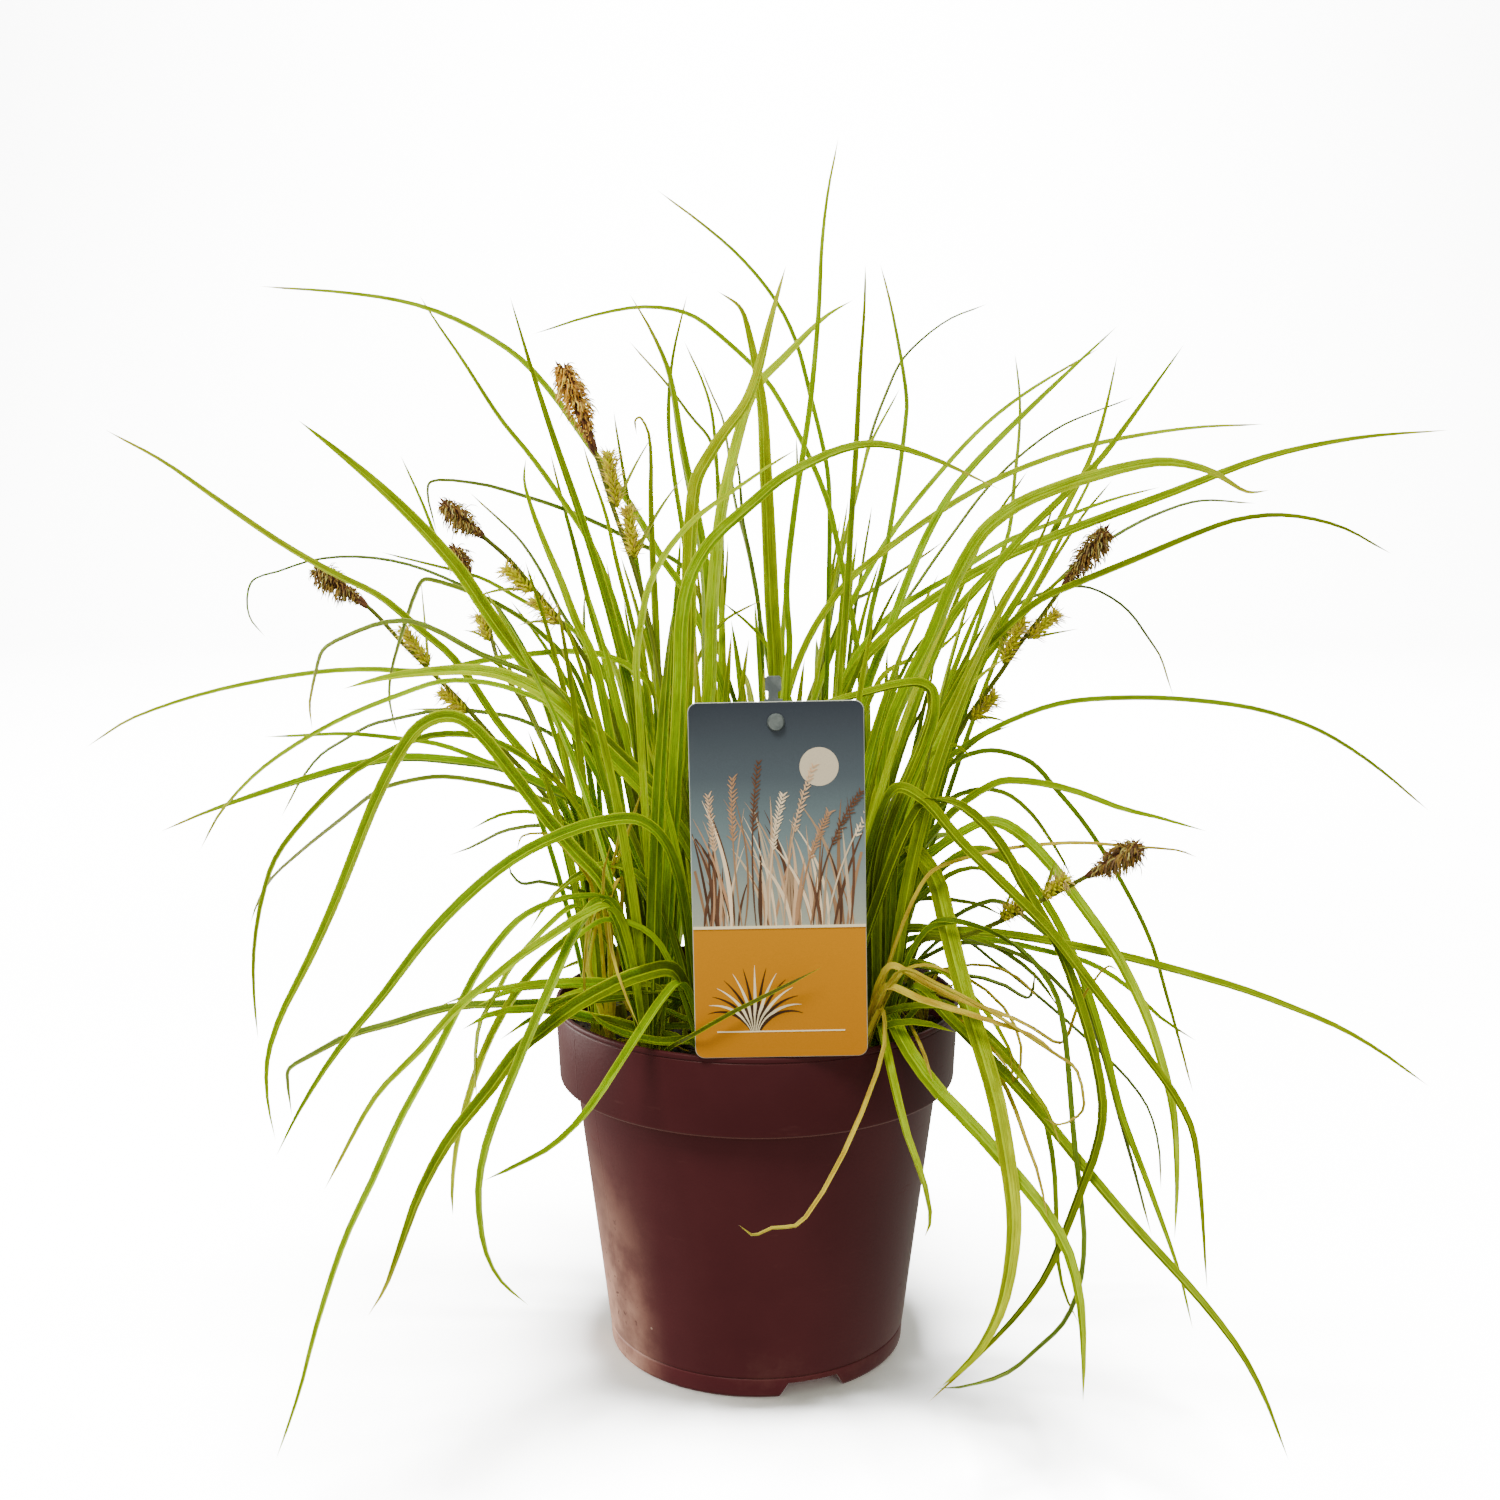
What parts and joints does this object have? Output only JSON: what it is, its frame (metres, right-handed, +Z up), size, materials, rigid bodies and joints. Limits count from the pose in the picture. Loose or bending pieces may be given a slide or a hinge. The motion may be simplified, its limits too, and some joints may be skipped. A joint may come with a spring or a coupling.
{
  "type": "potted carex sedge",
  "caption": "Lime-green tufted sedge with arching blades and bristly flower spikes, in a round burgundy nursery pot with a plain card tag on a stake.",
  "frame": {"origin": "centre of the pot's foot, on the surface it stands on", "axes": "+Z up; the tag's printed face looks towards -Y; +X is to the right seen from the tag's side"},
  "size_m": [0.4679, 0.3022, 0.4115],
  "materials": {
    "pot": "satin",
    "soil": "matte",
    "card": "satin",
    "stake": "satin",
    "lime_leaf": "satin",
    "yellow_leaf": "satin",
    "straw_leaf": "matte",
    "stem": "satin",
    "male_spike": "matte",
    "female_spike": "matte"
  },
  "bodies": {
    "root": {"nursery_pot": "pot", "potting_soil": "soil", "tag_card": "card", "tag_stake": "stake", "tiller_front_1": "lime_leaf", "tiller_front_2": "lime_leaf", "tiller_front_3": "lime_leaf", "tiller_front_4": "lime_leaf", "tiller_front_5": "lime_leaf", "tiller_left_1": "lime_leaf", "tiller_left_2": "lime_leaf", "tiller_inner_1": "lime_leaf", "tiller_inner_2": "lime_leaf", "tiller_inner_3": "lime_leaf", "tiller_inner_4": "lime_leaf", "tiller_inner_5": "lime_leaf", "tiller_inner_6": "lime_leaf", "tiller_right_1": "lime_leaf", "tiller_back_1": "lime_leaf", "tiller_back_2": "lime_leaf", "tiller_back_3": "lime_leaf", "tiller_back_4": "lime_leaf", "tiller_back_5": "lime_leaf", "yellow_tiller_left": "yellow_leaf", "yellow_tiller_middle": "yellow_leaf", "yellow_tiller_right": "yellow_leaf", "straw_tuft_left": "straw_leaf", "straw_tuft_front": "straw_leaf", "straw_tuft_right": "straw_leaf", "flower_stem_1": "stem", "flower_stem_2": "stem", "flower_stem_3": "stem", "flower_stem_4": "stem", "flower_stem_5": "stem", "flower_stem_6": "stem", "top_spike_1": "male_spike", "top_spike_2": "male_spike", "top_spike_3": "male_spike", "top_spike_4": "male_spike", "top_spike_5": "male_spike", "top_spike_6": "male_spike", "spikelet_1_1": "female_spike", "spikelet_1_2": "female_spike", "spikelet_2_1": "female_spike", "spikelet_2_2": "female_spike", "spikelet_3_1": "female_spike", "spikelet_4_1": "female_spike", "spikelet_4_2": "female_spike", "spikelet_5_1": "female_spike", "spikelet_5_2": "female_spike", "spikelet_5_3": "female_spike", "spikelet_6_1": "female_spike", "spikelet_6_2": "female_spike"}
  },
  "joints": []
}
